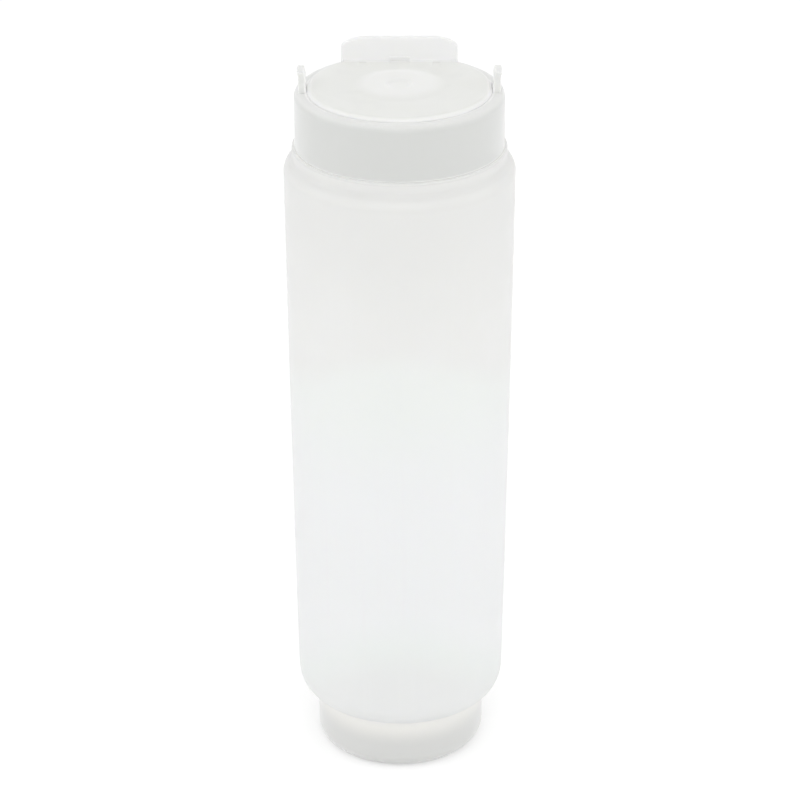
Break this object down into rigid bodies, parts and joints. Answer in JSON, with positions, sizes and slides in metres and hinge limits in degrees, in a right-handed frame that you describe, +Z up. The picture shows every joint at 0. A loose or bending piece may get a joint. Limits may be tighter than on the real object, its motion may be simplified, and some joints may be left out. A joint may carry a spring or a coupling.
{
  "type": "condiment squeeze bottle",
  "caption": "Tall translucent squeeze bottle with a screw cap at each end; the wide upper cap has a silicone valve under a hinged flip lid with a thumb lever.",
  "frame": {"origin": "centre of the underside of the refill cap, on the bottle's axis, at the height of the table", "axes": "+Z up along the bottle's axis towards the dispensing cap, -Y towards the lid's front edge, +Y towards the lid's hinge and lever, +X to the right seen from the front"},
  "size_m": [0.0728, 0.0728, 0.2403],
  "materials": {
    "bottle_polyethylene": "soft translucent natural low-density polyethylene, blow moulded, satin",
    "cap_polypropylene": "milky translucent natural polypropylene, injection moulded, satin",
    "lid_polypropylene": "milky translucent natural polypropylene, injection moulded, satin",
    "refill_cap_polypropylene": "milky translucent natural polypropylene, injection moulded, satin",
    "retainer_polypropylene": "natural polypropylene, injection moulded",
    "valve_silicone": "soft clear-white silicone, slightly frosted",
    "seal_foam": "white closed-cell foam liner"
  },
  "bodies": {
    "bottle": {"bottle_body": "bottle_polyethylene"},
    "dispensing_seal": {"dispensing_cap_seal": "seal_foam"},
    "dispensing_closure": {"dispensing_cap": "cap_polypropylene", "dispensing_valve": "valve_silicone", "valve_retainer": "retainer_polypropylene"},
    "lid": {"flip_lid": "lid_polypropylene"},
    "refill_seal": {"refill_cap_seal": "seal_foam"},
    "refill_closure": {"refill_cap": "refill_cap_polypropylene"}
  },
  "joints": [
    {"name": "dispensing_cap_rise", "type": "slide", "parent": "bottle", "child": "dispensing_seal", "axis": [0, 0, 1], "range_m": [0, 0.015]},
    {"name": "dispensing_cap_turn", "type": "hinge", "parent": "dispensing_seal", "child": "dispensing_closure", "pos_m": [0, 0, 0.2263], "axis": [0, 0, 1], "range_deg": [0, 1080]},
    {"name": "lid_hinge", "type": "hinge", "parent": "dispensing_closure", "child": "lid", "pos_m": [0, 0.0268, 0.231], "axis": [-1, 0, 0], "range_deg": [0, 120]},
    {"name": "refill_cap_drop", "type": "slide", "parent": "bottle", "child": "refill_seal", "axis": [0, 0, -1], "range_m": [0, 0.015]},
    {"name": "refill_cap_turn", "type": "hinge", "parent": "refill_seal", "child": "refill_closure", "pos_m": [0, 0, 0.0041], "axis": [0, 0, -1], "range_deg": [0, 1080]}
  ],
  "couplings": [
    {"joint": "dispensing_cap_rise", "follows": "dispensing_cap_turn", "m_per_rad": 0.00079577},
    {"joint": "refill_cap_drop", "follows": "refill_cap_turn", "m_per_rad": 0.00079577}
  ]
}
